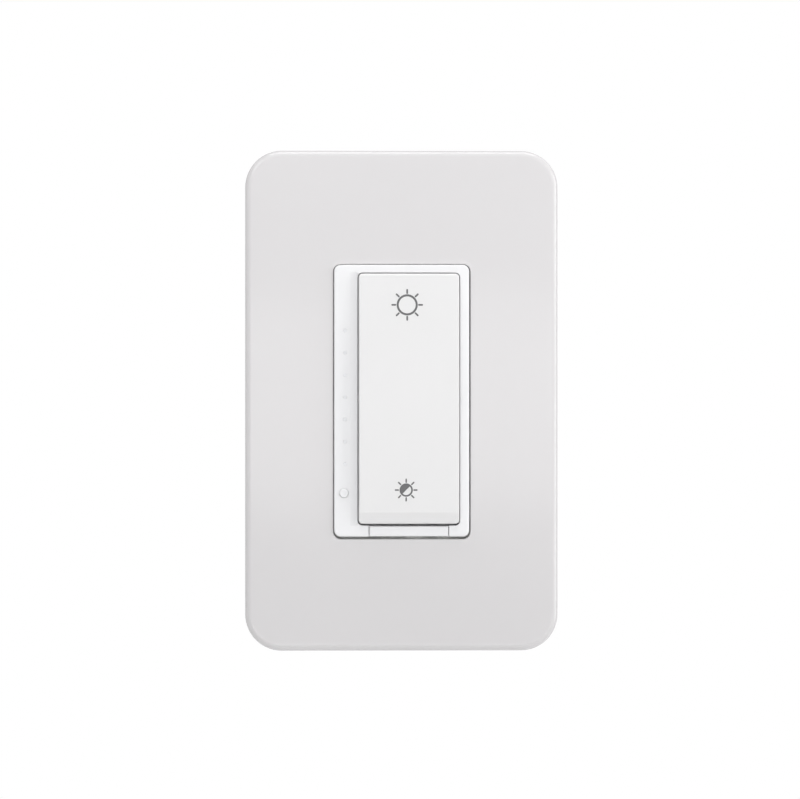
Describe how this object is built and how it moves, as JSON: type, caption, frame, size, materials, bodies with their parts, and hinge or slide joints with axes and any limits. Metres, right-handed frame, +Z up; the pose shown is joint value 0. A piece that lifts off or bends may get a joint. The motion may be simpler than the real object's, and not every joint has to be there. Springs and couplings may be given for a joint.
{
  "type": "paddle dimmer switch",
  "caption": "Wall dimmer with a tall rocker paddle, a light strip, a small button and a pull-out tab in a screwless plate, with strap, screws and rear housing.",
  "frame": {"origin": "middle of the device opening, on the wall surface", "axes": "+Z up along the plate's long side, +Y into the wall along the box screws, +X to the right of a person who faces the switch"},
  "size_m": [0.0762, 0.0419, 0.1218],
  "materials": {
    "plate_white": "gloss",
    "bezel_white": "satin",
    "paddle_white": "satin",
    "guide_clear": "frosted",
    "housing_black": "fine texture",
    "frame_white": "satin",
    "strap_steel": "zinc plated",
    "screw_steel": "zinc plated",
    "ground_green": "dyed zinc",
    "terminal_brass": "plain",
    "terminal_silver": "nickel plated",
    "fibre": "vulcanised fibre",
    "board_green": "solder mask",
    "part_black": "moulded",
    "stem_white": "moulded",
    "contact_copper": "plain copper",
    "shield_tin": "tin plate",
    "spread_aluminium": "mill finish",
    "pad_grey": "silicone",
    "core_green": "coated ferrite",
    "wire_copper": "enamelled copper",
    "film_yellow": "moulded box",
    "can_sleeve": "shrink sleeve",
    "varistor_blue": "dipped",
    "tape_yellow": "polyester tape",
    "fuse_brown": "moulded",
    "spring_steel": "plain",
    "led_lens": "clear resin",
    "label_white": "blank foil"
  },
  "bodies": {
    "device": {"wall_plate": "plate_white", "plate_frame": "frame_white", "plate_screws": "screw_steel", "mounting_strap": "strap_steel", "box_screws": "screw_steel", "screw_retainers": "fibre", "ground_screw": "ground_green", "bezel": "bezel_white", "light_guide": "guide_clear", "upper_spring": "spring_steel", "lower_spring": "spring_steel", "air_gap_contacts": "contact_copper", "rear_housing": "housing_black", "housing_screws": "screw_steel", "control_board": "board_green", "indicator_leds": "led_lens", "brighten_switch": "part_black", "dim_switch": "part_black", "pairing_switch": "part_black", "microcontroller": "part_black", "radio_board": "board_green", "radio_shield": "shield_tin", "board_header": "part_black", "heat_spreader": "spread_aluminium", "insulator_pad": "pad_grey", "triac": "part_black", "triac_screw": "screw_steel", "power_board": "board_green", "choke_core": "core_green", "choke_winding": "wire_copper", "film_capacitor": "film_yellow", "bulk_capacitor": "can_sleeve", "varistor": "varistor_blue", "transformer": "tape_yellow", "fuse": "fuse_brown", "rectifier": "part_black", "terminal_clamps": "terminal_brass", "live_terminal_screws": "terminal_brass", "neutral_terminal_screw": "terminal_silver", "rating_label": "label_white"},
    "paddle_body": {"paddle": "paddle_white"},
    "upper_plunger_body": {"upper_plunger": "stem_white"},
    "lower_plunger_body": {"lower_plunger": "stem_white"},
    "brighten_stem_body": {"brighten_stem": "stem_white"},
    "dim_stem_body": {"dim_stem": "stem_white"},
    "pairing_button_body": {"pairing_button": "bezel_white"},
    "pairing_stem_body": {"pairing_stem": "stem_white"},
    "air_gap_body": {"air_gap_tab": "bezel_white", "air_gap_bridge": "contact_copper"}
  },
  "joints": [
    {"name": "paddle_rock", "type": "hinge", "parent": "device", "child": "paddle_body", "pos_m": [0, -0.005, 0.0005], "axis": [-1, 0, 0], "range_deg": [-1.6, 1.6], "stiffness_Nm_per_rad": 0.6, "deforming": ["upper_spring", "lower_spring"]},
    {"name": "upper_plunger_slide", "type": "slide", "parent": "device", "child": "upper_plunger_body", "axis": [0, 1, 0], "range_m": [-0.0006, 0.0006]},
    {"name": "lower_plunger_slide", "type": "slide", "parent": "device", "child": "lower_plunger_body", "axis": [0, 1, 0], "range_m": [-0.0006, 0.0006]},
    {"name": "brighten_press", "type": "slide", "parent": "device", "child": "brighten_stem_body", "axis": [0, 1, 0], "range_m": [0, 0.00025], "stiffness_N_per_m": 6000, "springref_m": -0.00002},
    {"name": "dim_press", "type": "slide", "parent": "device", "child": "dim_stem_body", "axis": [0, 1, 0], "range_m": [0, 0.00025], "stiffness_N_per_m": 6000, "springref_m": -0.00002},
    {"name": "pairing_press", "type": "slide", "parent": "device", "child": "pairing_button_body", "axis": [0, 1, 0], "range_m": [0, 0.0003], "stiffness_N_per_m": 4000, "springref_m": -0.00002},
    {"name": "pairing_stem_slide", "type": "slide", "parent": "device", "child": "pairing_stem_body", "axis": [0, 1, 0], "range_m": [0, 0.0003]},
    {"name": "air_gap_pull", "type": "slide", "parent": "device", "child": "air_gap_body", "axis": [0, -1, 0], "range_m": [0, 0.003]}
  ],
  "couplings": [
    {"joint": "upper_plunger_slide", "follows": "paddle_rock", "m_per_rad": 0.02},
    {"joint": "lower_plunger_slide", "follows": "paddle_rock", "m_per_rad": -0.02},
    {"joint": "pairing_stem_slide", "follows": "pairing_press", "ratio": 1}
  ]
}
